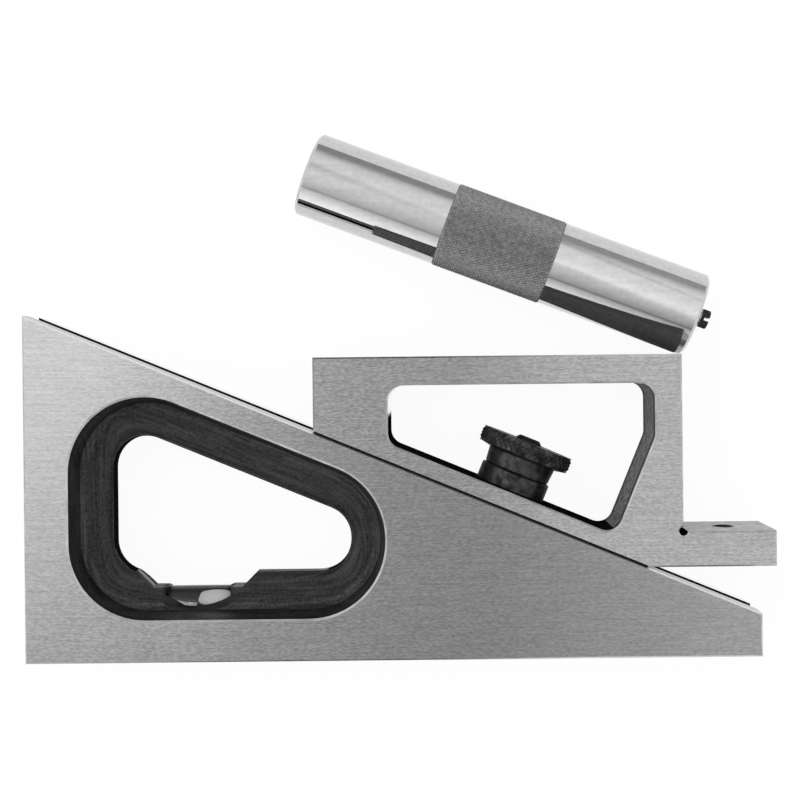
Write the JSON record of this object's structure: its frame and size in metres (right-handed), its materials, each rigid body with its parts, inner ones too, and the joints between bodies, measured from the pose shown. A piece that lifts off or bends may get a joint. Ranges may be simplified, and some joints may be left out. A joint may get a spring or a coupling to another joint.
{
  "type": "planer and shaper gauge",
  "caption": "Wedge-shaped gauge base with a slide that runs up its incline, clamped by a thumb nut, and a round extension lying beside it.",
  "frame": {"origin": "on the side that the set lies on, under the middle of the set's box", "axes": "+X from the gauge's heel towards its nose, along the sole; +Y the gauging height, from the sole up; +Z through the gauge's thickness, up from the surface that the set lies on"},
  "size_m": [0.1346, 0.0956, 0.0191],
  "materials": {
    "ground_iron": "surface ground",
    "ground_steel": "surface ground",
    "black_oxide_steel": "black oxide",
    "polished_steel": "turned and polished",
    "vial_glass": "polished",
    "plaster": "rough"
  },
  "bodies": {
    "base": {"base_frame": "ground_iron", "level_vial": "vial_glass", "vial_bed": "plaster"},
    "slide": {"slide_block": "ground_steel", "clamp_washer": "black_oxide_steel", "extension_rod": "polished_steel", "extension_stud": "black_oxide_steel"},
    "nut": {"thumb_nut": "black_oxide_steel"},
    "bolt": {"clamp_bolt": "black_oxide_steel"}
  },
  "joints": [
    {"name": "slide_travel", "type": "slide", "parent": "base", "child": "slide", "axis": [0.9239, -0.3827, 0], "range_m": [-0.056, 0.0422]},
    {"name": "nut_turn", "type": "hinge", "parent": "slide", "child": "nut", "pos_m": [0.01864, -0.02105, 0.00953], "axis": [0.3827, 0.9239, 0], "range_deg": [0, 360]},
    {"name": "bolt_drop", "type": "slide", "parent": "slide", "child": "bolt", "axis": [-0.3827, -0.9239, 0], "range_m": [0, 0.0008]}
  ],
  "couplings": [
    {"joint": "bolt_drop", "follows": "nut_turn", "m_per_rad": 0.00012633}
  ]
}
